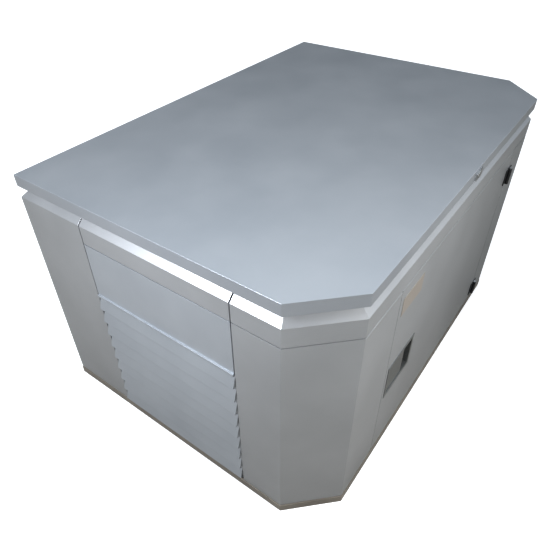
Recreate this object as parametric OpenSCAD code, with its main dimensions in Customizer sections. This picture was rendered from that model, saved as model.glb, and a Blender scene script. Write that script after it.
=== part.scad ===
// Home standby generator in a low, lidded sheet-metal enclosure.
// Z is up, X runs along the enclosure, and the service door faces -Y.
// The origin is the middle of the footprint, on the floor.

/* [Enclosure] */
// Length over the two end panels
length = 1220; // [1180:10:1480]
// Width over the front and the back
width = 856; // [830:2:1040]
// Height from the floor to the top of the lid
height = 694; // [690:2:840]
// Leg of the 45 degree cut at each front corner
corner_leg = 108; // [90:2:130]
// Thickness of the folded sheet
sheet = 2; // [1.5:0.1:2.4]
// Depth of the folded edges behind each panel
fold = 12; // [8:1:12]
// Open gap between two neighbouring panels
seam_gap = 2.5; // [1.5:0.1:3]
// Width of the rear column of each end
rear_column = 211.5; // [180:0.5:240]
// Width of the front column of each end
front_column = 222.4; // [190:0.2:240]
// Length of the return of each rear corner panel along the back
rear_return = 40; // [36:1:60]
// Height of the rim, from the lid's top down to the seam below the band
rim_h = 107.5; // [95:0.5:120]
// Height and depth of the 45 degree bevel under the lid
bevel = 28; // [24:1:28]

/* [Base] */
// Height of the base strip
strip_h = 24; // [20:1:30]
// How far the base strip stands proud of the panels
strip_proud = 1.5; // [0.5:0.1:2]
// Thickness of the base sheet
base_t = 3; // [2:0.5:4]
// Thickness of the gasket between the base and the panels
gasket_t = 2; // [1:0.5:3]
// Diameter of the four anchor holes
anchor_d = 13; // [9:1:16]
// Distance of the anchor holes from the ends
anchor_from_end = 90; // [80:1:110]
// Distance of the anchor holes from the front and the back
anchor_from_side = 88; // [80:1:110]

/* [Louvres] */
// Number of blades in each end
blades = 9; // [6:1:9]
// Height from one blade to the next
blade_pitch = 44.4; // [40:0.2:46]
// Height of the lowest blade's bottom edge above the base strip
blade_foot = 12.8; // [11:0.2:20]
// How far each blade's lower edge stands out from the panel
blade_proud = 6.6; // [3:0.2:10]
// How far each blade's upper edge is tucked in behind the panel
blade_tuck = 8; // [6:1:16]

/* [Lid] */
// Height of the lid's skirt
skirt_h = 30; // [26:1:34]
// Width of the hem folded in under the skirt
hem = 12; // [8:1:14]
// Thickness of the foam in the lid
lid_foam_t = 20; // [10:1:24]

/* [Door] */
// Distance of the door's free edge from the intake end
door_from_intake = 262; // [240:1:280]
// Distance of the door's hinged edge from the exhaust end
door_from_exhaust = 222; // [210:1:240]
// Depth of the door's folded edges
door_fold = 20; // [16:1:20]
// Thickness of the door's foam
door_foam_t = 14; // [8:1:16]

/* [Latch] */
// Width of the latch's flange
latch_w = 139; // [130:1:145]
// Height of the latch's flange
latch_h = 108; // [100:1:120]
// Height of the latch's middle above the floor
latch_z = 288; // [250:1:320]
// Distance of the latch from the door's free edge
latch_edge = 10; // [10:1:14]
// Depth of the latch's pan
latch_depth = 17; // [14:1:17]

/* [Engine] */
// Height of the crankshaft above the floor
crank_z = 235; // [232:1:245]
// Bore of each cylinder
cylinder_bore = 80; // [70:1:84]
// Outer diameter of the cooling fins
fin_d = 138; // [125:1:142]
// Length of each cylinder barrel
barrel_l = 110; // [108:1:112]
// Radius of the flywheel and fan
fan_r = 138; // [120:1:140]
// Outer radius of the alternator
alternator_r = 130; // [115:1:135]
// Length of the alternator
alternator_l = 290; // [250:5:290]
// Length of the crankcase
case_l = 240; // [240:1:250]
// Diameter of the silencer
muffler_d = 150; // [120:1:150]

/* [Battery] */
// Length of the battery
battery_l = 208; // [180:1:208]
// Width of the battery
battery_w = 173; // [150:1:180]
// Height of the battery
battery_h = 190; // [170:1:200]

/* [Hidden] */

over = 1;
clear = 0.3;
run = 0.05;
ball_over = 0.8;

// Levels of the shell
panel_z = strip_h + gasket_t;
lid_under = height - sheet;
skirt_z = height - skirt_h;
bevel_top = skirt_z - over;
bevel_z = bevel_top - bevel;
band_z = height - rim_h + seam_gap / 2;
panel_top = height - rim_h - seam_gap / 2;
slant = sheet * sqrt(2);

// Places of the vertical seams
seam_rear = width / 2 - rear_column;
seam_front = -(width / 2 - front_column);
seam_door_free = -length / 2 + door_from_intake;
seam_door_hinge = length / 2 - door_from_exhaust;
seam_back = length / 2 - rear_return;

// The frame inside the panels
post = 20;
post_wall = 2;
post_head = 8;
post_in = max(fold, blade_tuck) + 2 + clear;
upstand_in = bevel + slant + clear;
upstand_t = 3;
upstand_z = bevel_z - 3;
upstand_top = height - 12;
flange_w = 24;

// ---- Shared shapes ----

// The enclosure's outline, drawn in by an inset
function footprint(inset) = let (
    hx = length / 2 - inset,
    hy = width / 2 - inset,
    leg = corner_leg - inset * (2 - sqrt(2))
) [[-hx, leg - hy], [leg - hx, -hy], [hx - leg, -hy], [hx, leg - hy], [hx, hy], [-hx, hy]];

module plate(inset, z0, z1) {
    translate([0, 0, z0]) linear_extrude(z1 - z0) polygon(footprint(inset));
}

module ring(outer, inner, z0, z1) {
    difference() {
        plate(outer, z0, z1);
        plate(inner, z0 - over, z1 + over);
    }
}

module block(lo, hi) {
    translate(lo) cube(hi - lo);
}

// A solid whose outline shrinks evenly from one level to the next
module frustum(inset0, z0, inset1, z1) {
    low = footprint(inset0);
    high = footprint(inset1);
    n = len(low);
    points = concat([for (p = low) [p.x, p.y, z0]], [for (p = high) [p.x, p.y, z1]]);
    sides = [for (i = [0:n - 1]) [i, i + n, (i + 1) % n + n, (i + 1) % n]];
    polyhedron(points, concat([[for (i = [0:n - 1]) i], [for (i = [n - 1:-1:0]) i + n]], sides), 4);
}

// The sloping band of sheet under the lid
module bevel_shell() {
    difference() {
        frustum(0, bevel_z, bevel, bevel_top);
        frustum(slant - over, bevel_z - over, bevel + slant + over, bevel_top + over);
    }
}

// Band, bevel and the folded edge at the band's foot
module rim_shell() {
    ring(0, sheet, band_z, bevel_z);
    ring(0, fold, band_z, band_z + sheet);
    bevel_shell();
}

// The skin of the lower panels with its folded foot and head
module wall_shell(top) {
    ring(0, sheet, panel_z, top);
    ring(0, fold, panel_z, panel_z + sheet);
}

// A folded edge on an end panel, standing at y and reaching to y + sheet
module end_fold(side, y, z0, z1) {
    x0 = side < 0 ? -length / 2 : length / 2 - fold;
    block([x0, y, z0], [x0 + fold, y + sheet, z1]);
}

// Everything at the intake end between two places along Y
module end_slice(y0, y1) {
    block([-length / 2 - 20, y0, 0], [-length / 2 + corner_leg, y1, height]);
}

// A tube or rod between two points
module rod(a, b, r) {
    run_v = b - a;
    reach = norm(run_v);
    tilt = acos(run_v.z / reach);
    turn = atan2(run_v.y, run_v.x);
    translate(a) rotate([0, tilt, turn]) cylinder(r = r, h = reach, $fn = 48);
}

// Rods along a path, with a ball at each bend
module pipe_run(path, r) {
    for (i = [0:len(path) - 2]) rod(path[i], path[i + 1], r);
    for (i = [1:len(path) - 2]) translate(path[i]) sphere(r = r + ball_over, $fn = 48);
}

// ---- Base ----

rail_y = 120;
rail_w = 50;
rail_h = 40;
tray_lip = 25;

module base_tray() color("#4b463f") difference() {
    union() {
        plate(0, 0, base_t);
        ring(-strip_proud, base_t - strip_proud, 0, strip_h);
        ring(0, tray_lip, strip_h - base_t, strip_h);
    }
    for (sx = [-1, 1], sy = [-1, 1])
        translate([sx * (length / 2 - anchor_from_end), sy * (width / 2 - anchor_from_side), -over])
            cylinder(d = anchor_d, h = base_t + 2 * over, $fn = 48);
}

module base_gasket() ring(sheet, fold, strip_h, panel_z);

module frame_post(x, y) {
    difference() {
        block([x - post / 2, y - post / 2, strip_h], [x + post / 2, y + post / 2, upstand_z + post_head]);
        block(
            [x - post / 2 + post_wall, y - post / 2 + post_wall, strip_h - over],
            [x + post / 2 - post_wall, y + post / 2 - post_wall, upstand_z + post_head - post_wall]
        );
    }
}

post_x = length / 2 - post_in - post / 2;
post_y = width / 2 - post_in - post / 2;
door_post_free = seam_door_free - seam_gap / 2 - post / 2 - over;
door_post_hinge = seam_door_hinge + seam_gap / 2 + post / 2 + over;

// The lock's keeper stands on the upstand in front of the cam
lock_x = 20;
lock_z = height - 18;
cam_l = 15;
cam_w = 8;
cam_in = 20;
cam_t = 3;
keeper_l = 14;

module enclosure_frame() color("#8a8d90") {
    ring(upstand_in, upstand_in + upstand_t, upstand_z, upstand_top);
    ring(upstand_in, upstand_in + flange_w, upstand_z, upstand_z + post_wall);
    for (side = [-1, 1]) {
        frame_post(side * post_x, seam_rear);
        frame_post(side * post_x, seam_front);
        frame_post(side * seam_back, post_y);
    }
    frame_post(door_post_free, -post_y);
    frame_post(door_post_hinge, -post_y);
    block(
        [lock_x + cam_w, -width / 2 + cam_in - over, lock_z + cam_w / 2 + clear],
        [lock_x + cam_w + keeper_l, -width / 2 + upstand_in + over, upstand_top]
    );
}

// ---- Door opening ----

door_x0 = seam_door_free + seam_gap / 2;
door_x1 = seam_door_hinge - seam_gap / 2;
door_z0 = panel_z + 2;
surround_in = door_fold + clear + 2.3;
surround_x0 = door_post_free + post / 2;
surround_x1 = door_post_hinge - post / 2;
bolt_z = latch_z;
bolt_h = 22;
strike_h = bolt_h + 8;
strike_w = 30;
strike_d = 60;

module strike_cut() {
    block(
        [surround_x0 - over, -width / 2, bolt_z - strike_h / 2],
        [surround_x0 + strike_w, -width / 2 + strike_d, bolt_z + strike_h / 2]
    );
}

module door_surround() color("#8a8d90") difference() {
    block(
        [surround_x0, -width / 2 + surround_in, strip_h],
        [surround_x1, -width / 2 + surround_in + sheet, panel_top + 15]
    );
    block(
        [surround_x0 + 18, -width / 2, strip_h + 26],
        [surround_x1 - 22, 0, panel_top - 22]
    );
    strike_cut();
}

module door_seal() difference() {
    block(
        [surround_x0, -width / 2 + door_fold + clear, strip_h],
        [surround_x1, -width / 2 + surround_in, panel_top + 2]
    );
    block(
        [surround_x0 + 12, -width / 2, strip_h + 18],
        [surround_x1 - 14, 0, panel_top - 10]
    );
    strike_cut();
}

// ---- End and corner panels ----

module rear_corner() {
    x_seam = -seam_back - seam_gap / 2;
    y_seam = seam_rear + seam_gap / 2;
    intersection() {
        union() {
            wall_shell(bevel_z);
            bevel_shell();
        }
        block([-length / 2 - over, y_seam, 0], [x_seam, width / 2 + over, height]);
    }
    end_fold(-1, y_seam, panel_z, bevel_z);
    block([x_seam - sheet, width / 2 - fold, panel_z], [x_seam, width / 2, bevel_z]);
}

module rear_corner_panels() color("#a9adb1") {
    rear_corner();
    mirror([1, 0, 0]) rear_corner();
}

col_y0 = seam_front + seam_gap / 2;
col_y1 = seam_rear - seam_gap / 2;

module intake_header() {
    intersection() {
        rim_shell();
        end_slice(col_y0, col_y1);
    }
    end_fold(-1, col_y0, band_z, bevel_z);
    end_fold(-1, col_y1 - sheet, band_z, bevel_z);
}

module end_headers() color("#a9adb1") {
    intake_header();
    mirror([1, 0, 0]) intake_header();
}

blade_z0 = strip_h + blade_foot;
field_top = blade_z0 + blades * blade_pitch;
blade_t = 1.5;
lip_h = 6;
lip_proud = 4;

// One blade: a sloping sheet with a short lip turned in at its foot
module blade(z) {
    translate([-length / 2, col_y1, z]) rotate([90, 0, 0]) linear_extrude(col_y1 - col_y0) polygon([
        [-blade_proud, 0],
        [-blade_proud + 5, 0],
        [-blade_proud + 5, blade_t],
        [-blade_proud + blade_t + 0.8, blade_t],
        [blade_tuck, blade_pitch],
        [blade_tuck - blade_t - 0.2, blade_pitch],
        [-blade_proud, blade_t]
    ]);
}

module louvre_panel() {
    intersection() {
        ring(0, sheet, field_top - over, panel_top);
        end_slice(col_y0, col_y1);
    }
    intersection() {
        ring(0, fold, panel_top - sheet, panel_top);
        end_slice(col_y0, col_y1);
    }
    end_fold(-1, col_y0, field_top, panel_top);
    end_fold(-1, col_y1 - sheet, field_top, panel_top);
    block(
        [-length / 2 - lip_proud, col_y0, field_top - lip_h],
        [-length / 2 + sheet, col_y1, field_top + over]
    );
    for (i = [0:blades - 1]) blade(blade_z0 + i * blade_pitch);
    // Three straps behind the blades, hung from the panel and stood on the gasket
    for (y = [col_y0 + 8, (col_y0 + col_y1) / 2, col_y1 - 8])
        block(
            [-length / 2 + blade_tuck - 3, y - 5, panel_z],
            [-length / 2 + blade_tuck, y + 5, field_top + 20]
        );
    for (y = [col_y0, col_y1 - 13])
        block(
            [-length / 2, y, field_top + 5],
            [-length / 2 + blade_tuck, y + 13, field_top + 8]
        );
    block(
        [-length / 2 + 3, col_y0, panel_z],
        [-length / 2 + blade_tuck, col_y1, panel_z + sheet]
    );
}

module end_louvres() color("#b3b9bf") {
    louvre_panel();
    mirror([1, 0, 0]) louvre_panel();
}

module front_corner(x_seam) {
    intersection() {
        union() {
            wall_shell(panel_top);
            ring(0, fold, panel_top - sheet, panel_top);
        }
        block(
            [-length / 2 - over, -width / 2 - over, 0],
            [x_seam, seam_front - seam_gap / 2, height]
        );
    }
    end_fold(-1, seam_front - seam_gap / 2 - sheet, panel_z, panel_top);
    block([x_seam - sheet, -width / 2, panel_z], [x_seam, -width / 2 + fold, panel_top]);
}

module front_left_panel() color("#a9adb1") front_corner(seam_door_free - seam_gap / 2);

module front_right_panel() color("#a9adb1")
    mirror([1, 0, 0]) front_corner(-seam_door_hinge - seam_gap / 2);

module front_rim() color("#a9adb1") {
    intersection() {
        rim_shell();
        block(
            [-length / 2 - over, -width / 2 - over, 0],
            [length / 2 + over, seam_front - seam_gap / 2, height]
        );
    }
    for (side = [-1, 1]) end_fold(side, seam_front - seam_gap / 2 - sheet, band_z, bevel_z);
}

// ---- Back ----

gas_x = -460;
gas_z = 120;
gas_r = 13.3;
conduit_x = -400;
conduit_z = 300;
conduit_r = 17;
hub_wall = 6;

module back_panel() color("#a9adb1") difference() {
    union() {
        intersection() {
            union() {
                wall_shell(bevel_z);
                bevel_shell();
            }
            block([-seam_back + seam_gap / 2, 0, 0], [seam_back - seam_gap / 2, width, height]);
        }
        for (x = [-seam_back + seam_gap / 2, seam_back - seam_gap / 2 - sheet])
            block([x, width / 2 - fold, panel_z], [x + sheet, width / 2, bevel_z]);
        // Conduit hub
        translate([conduit_x, width / 2 + 2, conduit_z]) rotate([90, 0, 0])
            cylinder(r = conduit_r + hub_wall, h = 25, $fn = 64);
    }
    translate([conduit_x, width / 2 + 2 + over, conduit_z]) rotate([90, 0, 0])
        cylinder(r = conduit_r, h = 30, $fn = 64);
    translate([gas_x, width / 2 + over, gas_z]) rotate([90, 0, 0])
        cylinder(r = gas_r + hub_wall + clear, h = sheet + 2 * over, $fn = 64);
}

back_foam_t = 15;

module back_foam() color("#2b2b2d") difference() {
    block(
        [-seam_back + 30, width / 2 - sheet - clear - back_foam_t, panel_z + 14],
        [seam_back - 30, width / 2 - sheet - clear, bevel_z - 15]
    );
    for (p = [[conduit_x, conduit_z, conduit_r], [gas_x, gas_z, gas_r]])
        translate([p.x, width / 2, p.y]) rotate([90, 0, 0])
            cylinder(r = p.z + hub_wall + 4, h = 30, $fn = 64);
}

// ---- Lid ----

lid_axis_y = width / 2 + 6;
lid_axis_z = skirt_z - 9;
lid_knuckle_r = 5.5;
lid_pin_r = 3;
leaf_t = 2;
knuckle_l = 20;
lid_hinges = [-length / 2 + 210, 0, length / 2 - 210];

module lid_shell() color("#b0b6bd") difference() {
    union() {
        stay_bracket();
        plate(0, lid_under, height);
        ring(0, sheet, skirt_z, height);
        ring(0, sheet + hem, skirt_z, skirt_z + sheet);
    }
    translate([lock_x, -width / 2 - over, lock_z]) rotate([-90, 0, 0])
        cylinder(r = lock_r + clear, h = sheet + 2 * over, $fn = 48);
    block(
        [lock_x - lock_r - 4, -width / 2 + sheet, skirt_z - over],
        [lock_x + lock_r + 4, -width / 2 + sheet + hem + over, skirt_z + sheet + over]
    );
}

foam_in = upstand_in + 8;
stay_gap = 8;
stay_x = -length / 2 + upstand_in + flange_w + stay_gap;
stay_y = width / 2 - 228;
stay_z = lid_under - 10;
stay_r = 4;
stay_l = 300;

module lid_foam() color("#303032") intersection() {
    plate(foam_in, lid_under - lid_foam_t, lid_under - clear);
    block(
        [stay_x + 20, -width / 2, 0],
        [length / 2, width / 2 - 62, height]
    );
}

module lid_seal() difference() {
    ring(upstand_in - 2.5, upstand_in + 5.5, upstand_top, lid_under - clear);
    block(
        [lock_x - 12, -width / 2, 0],
        [lock_x + cam_w + 20, -width / 2 + upstand_in, height]
    );
}

// Base gasket, door seal and lid seal, each a strip of its own
module weather_seals() color("#1e1e1e") {
    base_gasket();
    door_seal();
    lid_seal();
}

// Hinge knuckle along X
module knuckle(x0, x1, y, z, r, bore) {
    translate([x0, y, z]) rotate([0, 90, 0]) difference() {
        cylinder(r = r, h = x1 - x0, $fn = 48);
        translate([0, 0, -over]) cylinder(r = bore, h = x1 - x0 + 2 * over, $fn = 48);
    }
}

module lid_hinge_frame_leaves() color("#9a9ea2") for (x = lid_hinges) {
    for (x0 = [x - 1.5 * knuckle_l, x + 0.5 * knuckle_l + clear]) {
        knuckle(x0, x0 + knuckle_l - clear, lid_axis_y, lid_axis_z, lid_knuckle_r, lid_pin_r);
        difference() {
            block([x0, width / 2, lid_axis_z - 50], [x0 + knuckle_l - clear, width / 2 + leaf_t, lid_axis_z]);
            translate([x0 - over, lid_axis_y, lid_axis_z]) rotate([0, 90, 0])
                cylinder(r = lid_pin_r, h = knuckle_l + 2 * over, $fn = 48);
        }
    }
    block(
        [x - 1.5 * knuckle_l, width / 2, lid_axis_z - 50],
        [x + 1.5 * knuckle_l, width / 2 + leaf_t, lid_axis_z - lid_knuckle_r - 2]
    );
}

module lid_hinge_lid_leaves() color("#9a9ea2") for (x = lid_hinges) {
    x0 = x - 0.5 * knuckle_l + clear;
    knuckle(x0, x0 + knuckle_l - clear, lid_axis_y, lid_axis_z, lid_knuckle_r, lid_pin_r + run);
    block([x0, width / 2, lid_axis_z + 2], [x0 + knuckle_l - clear, width / 2 + leaf_t, height - 5]);
    block(
        [x - 1.5 * knuckle_l, width / 2, lid_axis_z + lid_knuckle_r + 4],
        [x + 1.5 * knuckle_l, width / 2 + leaf_t, height - 5]
    );
}

module lid_hinge_pins() for (x = lid_hinges)
    translate([x - 1.5 * knuckle_l - 1, lid_axis_y, lid_axis_z]) rotate([0, 90, 0]) {
        cylinder(r = lid_pin_r, h = 3 * knuckle_l + 1, $fn = 48);
        translate([0, 0, -2]) cylinder(r = lid_pin_r + 1.5, h = 3, $fn = 48);
    }

// The lock's axis runs along Y through the lid's front skirt
lock_r = 9;
lock_case_w = 45;
lock_case_h = 28;
lock_case_t = 2.5;

module lid_lock_case() color("#c4c6c8") difference() {
    translate([lock_x, -width / 2, lock_z]) rotate([90, 0, 0]) linear_extrude(lock_case_t)
        offset(r = 5, $fn = 32) square([lock_case_w - 10, lock_case_h - 10 - 4], center = true);
    translate([lock_x, -width / 2 + over, lock_z]) rotate([90, 0, 0])
        cylinder(r = lock_r + clear, h = 2 * over + lock_case_t, $fn = 48);
}

module lid_lock_barrel() color("#d2d4d6") difference() {
    translate([lock_x, -width / 2 - lock_case_t - 1, lock_z]) rotate([-90, 0, 0]) {
        cylinder(r = lock_r, h = lock_case_t + 1 + cam_in, $fn = 48);
        // The cam points down while the lid is free to open
        translate([-cam_w / 2, 0, lock_case_t + 1 + cam_in]) cube([cam_w, cam_l, cam_t]);
        cylinder(r = 4, h = lock_case_t + 1 + cam_in + cam_t + 2, $fn = 48);
    }
    // Key slot
    block(
        [lock_x - 0.8, -width / 2 - lock_case_t - 1 - over, lock_z - 4],
        [lock_x + 0.8, -width / 2 - lock_case_t + 3, lock_z + 4]
    );
}

// A prop rod folded up under the lid
module lid_stay() color("#b9bcbf") {
    rod([stay_x, stay_y, stay_z], [stay_x, stay_y - stay_l, stay_z], stay_r);
    translate([stay_x - 9, stay_y, stay_z]) rotate([0, 90, 0]) cylinder(r = stay_r, h = 18, $fn = 48);
    translate([stay_x, stay_y, stay_z]) sphere(r = stay_r + 2, $fn = 48);
}

module stay_bracket() for (x = [stay_x - 9, stay_x + 7 + clear])
    difference() {
        block([x, stay_y - 8, stay_z - 7], [x + 2, stay_y + 8, lid_under]);
        translate([x - over, stay_y, stay_z]) rotate([0, 90, 0])
            cylinder(r = stay_r + run, h = 4, $fn = 48);
    }

// ---- Door ----

hinge_axis_y = -width / 2 - 5.5;
hinge_knuckle_r = 5.2;
hinge_pin_r = 2.5;
hinge_h = 50;
hinge_leaf_w = 22;
hinge_leaf_t = 2.5;
hinge_zs = [panel_z + 20, panel_top - 107];
hinge_cuts = [0, 17, 33, 50];

pan_x0 = door_x0 + latch_edge + 8;
pan_x1 = door_x0 + latch_edge + latch_w - 8;
pan_z0 = latch_z - latch_h / 2 + 8;
pan_z1 = latch_z + latch_h / 2 - 8;

module door_skin() color("#a4a8ac") difference() {
    union() {
        block([door_x0, -width / 2, door_z0], [door_x1, -width / 2 + sheet, panel_top]);
        for (z = [door_z0, panel_top - sheet])
            block([door_x0, -width / 2, z], [door_x1, -width / 2 + door_fold, z + sheet]);
        for (x = [door_x0, door_x1 - sheet])
            block([x, -width / 2, door_z0], [x + sheet, -width / 2 + door_fold, panel_top]);
    }
    block(
        [pan_x0 - clear, -width / 2 - over, pan_z0 - clear],
        [pan_x1 + clear, -width / 2 + sheet + over, pan_z1 + clear]
    );
    // Slot for the bolt in the free edge
    block(
        [door_x0 - over, dish_back - over, bolt_z - bolt_h / 2 - over],
        [door_x0 + sheet + over, -width / 2 + door_fold + over, bolt_z + bolt_h / 2 + over]
    );
}

module door_foam() color("#303032") block(
    [pan_x1 + 28, -width / 2 + sheet + clear, door_z0 + 25],
    [door_x1 - 18, -width / 2 + sheet + clear + door_foam_t, panel_top - 20]
);

plate_w = 104;
plate_h = 50;

module data_plate() color("#cfc9b4") block(
    [door_x0 + 15, -width / 2 - 1, panel_top - 32 - plate_h],
    [door_x0 + 15 + plate_w, -width / 2, panel_top - 32]
);

// Vertical knuckle of a door hinge
module door_knuckle(z0, z1, bore) {
    translate([seam_door_hinge, hinge_axis_y, z0]) difference() {
        cylinder(r = hinge_knuckle_r, h = z1 - z0, $fn = 48);
        translate([0, 0, -over]) cylinder(r = bore, h = z1 - z0 + 2 * over, $fn = 48);
    }
}

module door_leaf_half(side, z0, z1) {
    x = seam_door_hinge;
    difference() {
        block(
            [side < 0 ? x - hinge_leaf_w : x, -width / 2 - hinge_leaf_t, z0],
            [side < 0 ? x : x + hinge_leaf_w, -width / 2, z1]
        );
        translate([x, hinge_axis_y, z0 - over])
            cylinder(r = hinge_pin_r + 0.5, h = z1 - z0 + 2 * over, $fn = 48);
    }
}

module door_hinge_frame_leaves() color("#1e1f21") for (z = hinge_zs) {
    for (i = [0, 2]) {
        door_knuckle(z + hinge_cuts[i], z + hinge_cuts[i + 1] - clear, hinge_pin_r);
        door_leaf_half(1, z + hinge_cuts[i], z + hinge_cuts[i + 1] - clear);
    }
    block(
        [seam_door_hinge + hinge_knuckle_r + 1.5, -width / 2 - hinge_leaf_t, z],
        [seam_door_hinge + hinge_leaf_w, -width / 2, z + hinge_h - clear]
    );
}

module door_hinge_door_leaves() color("#1e1f21") for (z = hinge_zs) {
    door_knuckle(z + hinge_cuts[1], z + hinge_cuts[2] - clear, hinge_pin_r + run);
    door_leaf_half(-1, z + hinge_cuts[1], z + hinge_cuts[2] - clear);
    block(
        [seam_door_hinge - hinge_leaf_w, -width / 2 - hinge_leaf_t, z],
        [seam_door_hinge - hinge_knuckle_r - 1.5, -width / 2, z + hinge_h - clear]
    );
}

module door_hinge_pins() for (z = hinge_zs)
    translate([seam_door_hinge, hinge_axis_y, z - 1]) {
        cylinder(r = hinge_pin_r, h = hinge_h + 1, $fn = 48);
        translate([0, 0, hinge_h + 1 - clear]) cylinder(r = hinge_pin_r + 1.2, h = 2, $fn = 48);
    }

module hinge_pins() color("#d0d2d4") {
    lid_hinge_pins();
    door_hinge_pins();
}

// ---- Latch ----

pan_wall = 1.5;
paddle_x = pan_x0 + 6;
paddle_y = -width / 2 + 5;
paddle_pin_r = 2.5;
paddle_l = 78;
dish_back = -width / 2 + latch_depth + pan_wall;
bolt_t = 5;
bolt_x0 = surround_x0 + 3;
bolt_x1 = pan_x0 + 90;

module latch_dish() color("#8b8f93") difference() {
    union() {
        block(
            [door_x0 + latch_edge, -width / 2 - 1.5, latch_z - latch_h / 2],
            [door_x0 + latch_edge + latch_w, -width / 2, latch_z + latch_h / 2]
        );
        block([pan_x0, -width / 2 - 1, pan_z0], [pan_x1, dish_back, pan_z1]);
        // Two staples that guide the bolt
        for (x = [pan_x0 + 8, pan_x0 + 70])
            block(
                [x, dish_back - over, bolt_z - bolt_h / 2 - 4],
                [x + 12, dish_back + bolt_t + 2 * clear + 3, bolt_z + bolt_h / 2 + 4]
            );
    }
    block(
        [pan_x0 + pan_wall, -width / 2 - 3, pan_z0 + pan_wall],
        [pan_x1 - pan_wall, -width / 2 + latch_depth, pan_z1 - pan_wall]
    );
    block(
        [pan_x0, dish_back, bolt_z - bolt_h / 2 - clear],
        [pan_x1, dish_back + bolt_t + 2 * clear, bolt_z + bolt_h / 2 + clear]
    );
    translate([paddle_x, paddle_y, pan_z0 - over])
        cylinder(r = paddle_pin_r + run, h = pan_z1 - pan_z0 + 2 * over, $fn = 48);
}

module latch_paddle() color("#7c8084") {
    block(
        [paddle_x - 2, -width / 2 + 1, pan_z0 + pan_wall + 2],
        [paddle_x + paddle_l, -width / 2 + 4, pan_z1 - pan_wall - 2]
    );
    block(
        [paddle_x + paddle_l - 3, -width / 2 + 1, pan_z0 + pan_wall + 2],
        [paddle_x + paddle_l, -width / 2 + 9, pan_z1 - pan_wall - 2]
    );
    translate([paddle_x, paddle_y, pan_z0 + 0.2])
        cylinder(r = paddle_pin_r, h = pan_z1 - pan_z0 - 0.4, $fn = 48);
}

module latch_bolt() color("#b6b9bc") block(
    [bolt_x0, dish_back + clear, bolt_z - bolt_h / 2],
    [bolt_x1, dish_back + clear + bolt_t, bolt_z + bolt_h / 2]
);

// ---- Engine bed ----

rail_x0 = -length / 2 + 50;
case_x0 = -40;
case_x1 = case_x0 + case_l;
bulkhead_x = case_x1 + 198;
cradle_z = rail_h + base_t + 32;
cradle_t = 10;
bed_z = cradle_z + cradle_t;
mount_xs = [case_x0 - alternator_l + 40, case_x1 - 40];

module engine_rails() color("#6b6e71") for (side = [-1, 1])
    difference() {
        block(
            [rail_x0, side * rail_y - rail_w / 2, base_t],
            [bulkhead_x - 20, side * rail_y + rail_w / 2, base_t + rail_h]
        );
        block(
            [rail_x0 - over, side * rail_y - rail_w / 2 + 4, base_t - over],
            [bulkhead_x, side * rail_y + rail_w / 2 - 4, base_t + rail_h - 4]
        );
        for (x = mount_xs)
            translate([x, side * rail_y, base_t + rail_h - 5]) cylinder(r = 5.2, h = 8, $fn = 48);
    }

module engine_mounts() color("#1d1d1d") for (x = mount_xs, side = [-1, 1])
    translate([x, side * rail_y, base_t + rail_h]) difference() {
        cylinder(r = 24, h = 32, $fn = 48);
        translate([0, 0, -over]) cylinder(r = 5.2, h = 34, $fn = 48);
    }

module mount_bolts() color("#b5b8bb") for (x = mount_xs, side = [-1, 1])
    translate([x, side * rail_y, base_t + rail_h - 8]) {
        cylinder(r = 5, h = cradle_t + 48, $fn = 48);
        translate([0, 0, cradle_t + 40]) cylinder(r = 9, h = 7, $fn = 6);
    }

module engine_cradle() color("#5d6063") difference() {
    block(
        [case_x0 - alternator_l - 5, -rail_y - 30, cradle_z],
        [case_x1 + 5, rail_y + 30, bed_z]
    );
    for (x = mount_xs, side = [-1, 1])
        translate([x, side * rail_y, cradle_z - over]) cylinder(r = 5.2, h = cradle_t + 4, $fn = 48);
}

// ---- Engine ----

journal_r = 25;
web_r = 62;
deck_r = 125;
head_h = 65;
barrel_top = deck_r + barrel_l;
head_top = barrel_top + head_h;
cyl_xs = [case_x0 + 100, case_x0 + 140];
cyl_tilts = [-45, 45];

// Places a shape on one bank: Z runs up the cylinder from the crankshaft
module bank(i) {
    translate([cyl_xs[i], 0, crank_z]) rotate([cyl_tilts[i], 0, 0]) children();
}

module crankcase() color("#9b9d9f") difference() {
    union() {
        block([case_x0, -105, bed_z], [case_x1, 105, crank_z + 60]);
        block([case_x0, -70, bed_z], [case_x1, 70, crank_z + 95]);
        for (i = [0, 1]) bank(i) block([-58, -60, 40], [58, 60, deck_r]);
        // Dipstick tube
        translate([case_x0 + 24, -112, bed_z + 40]) cylinder(r = 9, h = 260, $fn = 48);
    }
    translate([case_x0 - over, 0, crank_z]) rotate([0, 90, 0])
        cylinder(r = journal_r + run, h = case_l + 2 * over, $fn = 64);
    translate([case_x0 + 22, 0, crank_z]) rotate([0, 90, 0])
        cylinder(r = web_r + 8, h = case_l - 44, $fn = 64);
    for (i = [0, 1]) bank(i) cylinder(d = cylinder_bore, h = deck_r + over, $fn = 64);
    translate([case_x0 + 24, -112, bed_z + 20]) cylinder(r = 4, h = 300, $fn = 48);
}

fin_pitch = 9;
fin_n = floor((barrel_l - 16) / fin_pitch);

module cylinders() color("#8f9193") for (i = [0, 1]) bank(i) difference() {
    union() {
        translate([0, 0, deck_r]) cylinder(d = cylinder_bore + 22, h = barrel_l, $fn = 64);
        block([-58, -58, deck_r], [58, 58, deck_r + 9]);
        for (k = [1:fin_n])
            translate([0, 0, deck_r + 7 + k * fin_pitch]) cylinder(d = fin_d, h = 3, $fn = 64);
    }
    translate([0, 0, deck_r - over]) cylinder(d = cylinder_bore, h = barrel_l + 2 * over, $fn = 64);
}

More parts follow.
